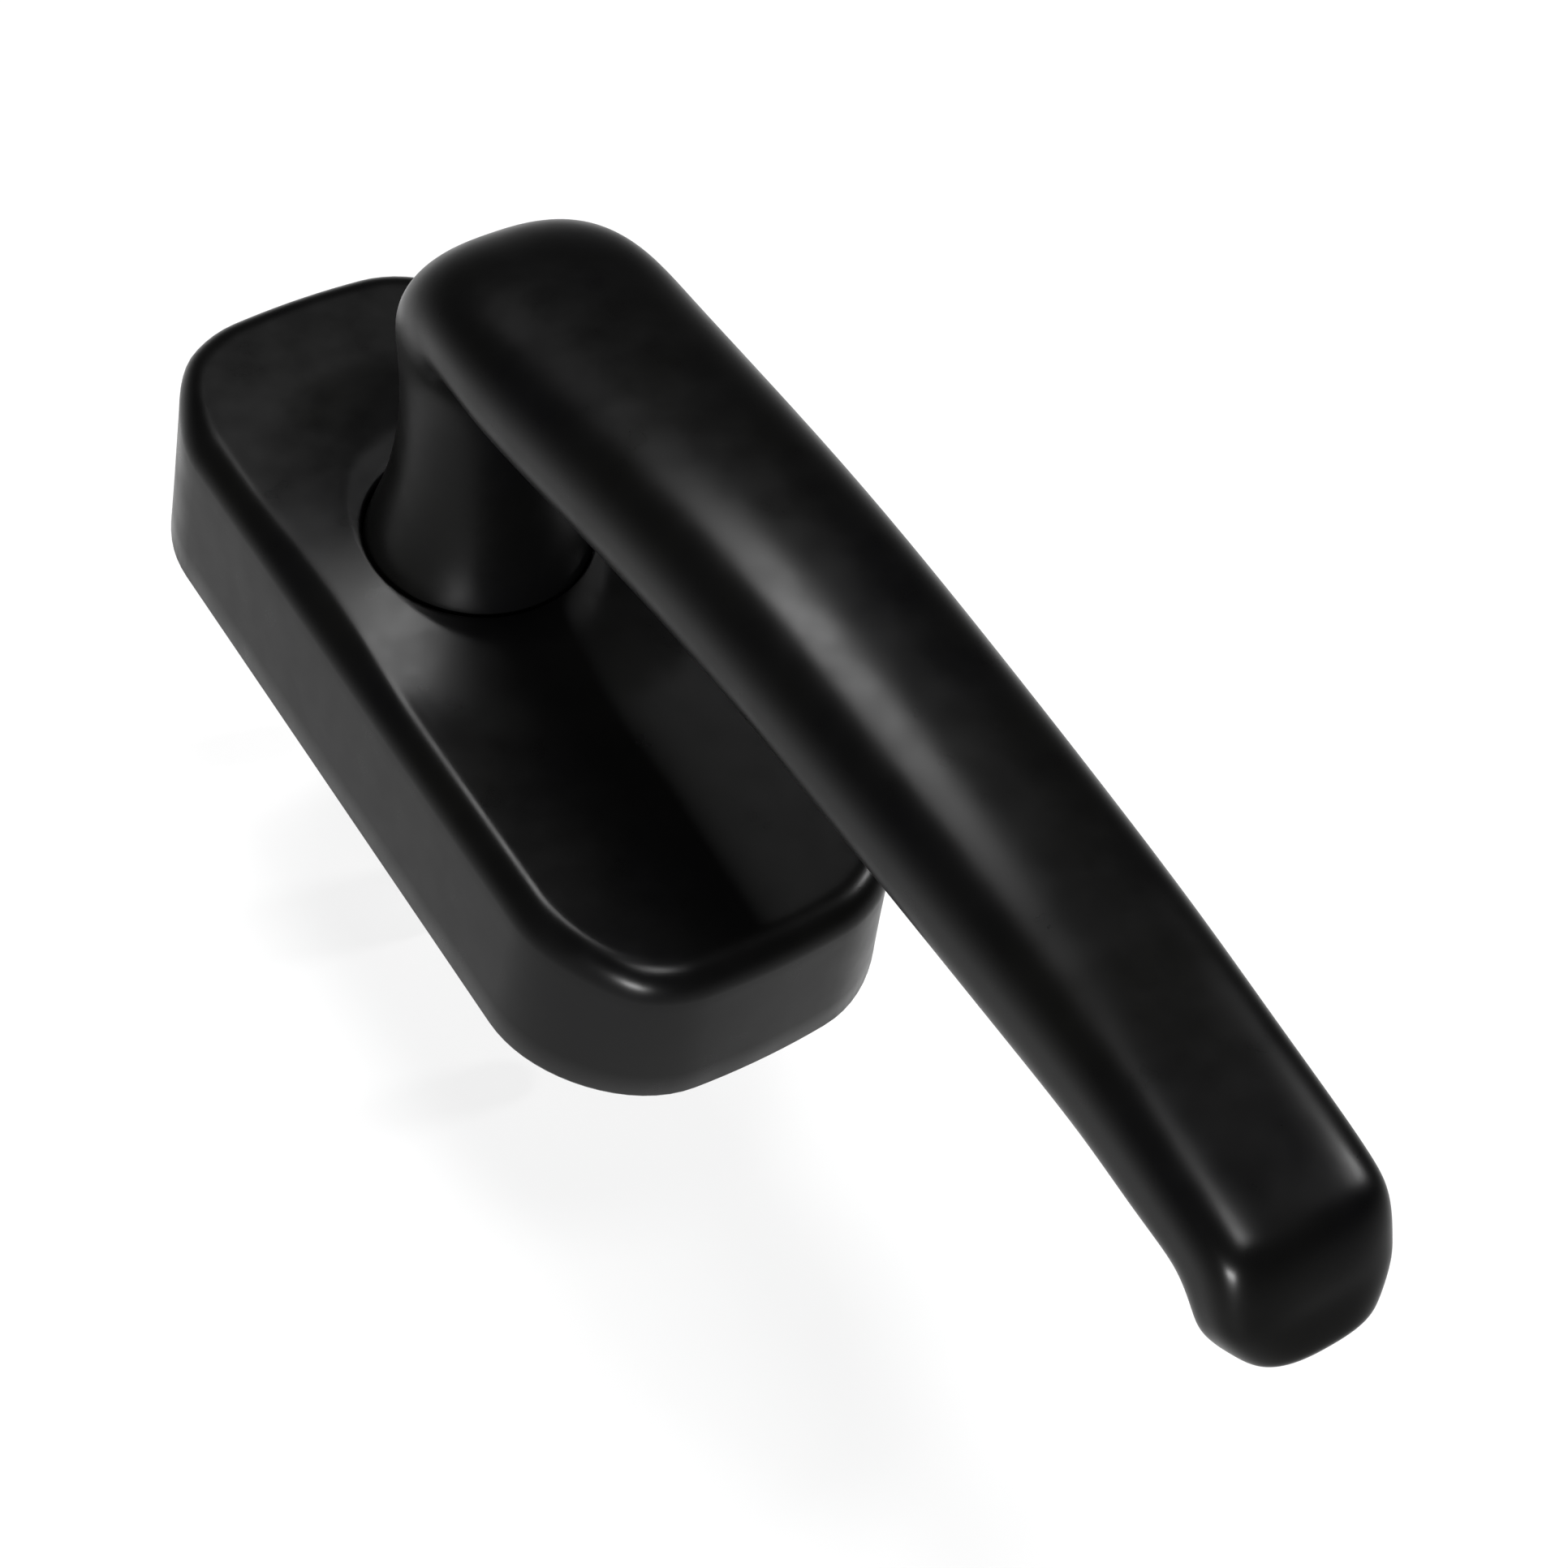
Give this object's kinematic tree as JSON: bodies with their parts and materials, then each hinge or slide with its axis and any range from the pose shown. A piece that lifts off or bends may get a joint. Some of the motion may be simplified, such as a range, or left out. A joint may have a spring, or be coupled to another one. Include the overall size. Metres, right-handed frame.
{
  "type": "tilt turn handle",
  "caption": "Window handle with a curved lever on a rounded rosette; turns a square spindle behind the sash, with click positions a quarter turn apart.",
  "frame": {"origin": "where the spindle's axis meets the sash face, which is the back plane of the base plate and the cover's rim", "axes": "+Z out of the sash along the spindle's axis, towards the room; -Y along the closed lever, from its neck to its tip; +X to the side that the lever turns to first"},
  "size_m": [0.034, 0.1321, 0.0869],
  "materials": {
    "black_coat": "satin black powder coat on die-cast zinc",
    "black_plastic": "moulded, matt",
    "white_plastic": "moulded acetal, natural white",
    "zinc_casting": "bare zinc die casting, tumbled",
    "zinc_plated_steel": "zinc-plated, blue passivated",
    "spring_steel": "bare spring steel",
    "screw_steel": "zinc-plated",
    "ball_steel": "polished bearing steel"
  },
  "bodies": {
    "base": {"base_plate": "zinc_casting", "guide_bush": "white_plastic", "thrust_washer": "black_plastic", "screw_top": "screw_steel", "screw_bottom": "screw_steel", "cover_clip_left": "spring_steel", "cover_clip_right": "spring_steel", "detent_spring_top": "spring_steel", "detent_spring_left": "spring_steel", "detent_spring_bottom": "spring_steel", "detent_spring_right": "spring_steel"},
    "lever": {"lever": "black_coat", "spindle": "zinc_plated_steel", "spindle_pin": "spring_steel", "detent_disc": "zinc_plated_steel", "wave_washer": "spring_steel", "retaining_washer": "spring_steel"},
    "cover": {"cover": "black_coat", "cover_ring": "black_plastic"},
    "ball_top": {"detent_ball_top": "ball_steel"},
    "ball_left": {"detent_ball_left": "ball_steel"},
    "ball_bottom": {"detent_ball_bottom": "ball_steel"},
    "ball_right": {"detent_ball_right": "ball_steel"}
  },
  "joints": [
    {"name": "lever_turn", "type": "hinge", "parent": "base", "child": "lever", "pos_m": [0, 0, 0], "axis": [0, 0, 1], "range_deg": [0, 180]},
    {"name": "cover_lift", "type": "slide", "parent": "base", "child": "cover", "axis": [0, 0, 1], "range_m": [0, 0.012]},
    {"name": "ball_top_press", "type": "slide", "parent": "base", "child": "ball_top", "axis": [0, 0, -1], "range_m": [0, 0.0008], "stiffness_N_per_m": 400, "springref_m": 0.0008, "deforming": ["detent_spring_top"]},
    {"name": "ball_left_press", "type": "slide", "parent": "base", "child": "ball_left", "axis": [0, 0, -1], "range_m": [0, 0.0008], "deforming": ["detent_spring_left"]},
    {"name": "ball_bottom_press", "type": "slide", "parent": "base", "child": "ball_bottom", "axis": [0, 0, -1], "range_m": [0, 0.0008], "deforming": ["detent_spring_bottom"]},
    {"name": "ball_right_press", "type": "slide", "parent": "base", "child": "ball_right", "axis": [0, 0, -1], "range_m": [0, 0.0008], "deforming": ["detent_spring_right"]}
  ],
  "couplings": [
    {"joint": "ball_left_press", "follows": "ball_top_press", "ratio": 1},
    {"joint": "ball_bottom_press", "follows": "ball_top_press", "ratio": 1},
    {"joint": "ball_right_press", "follows": "ball_top_press", "ratio": 1}
  ]
}
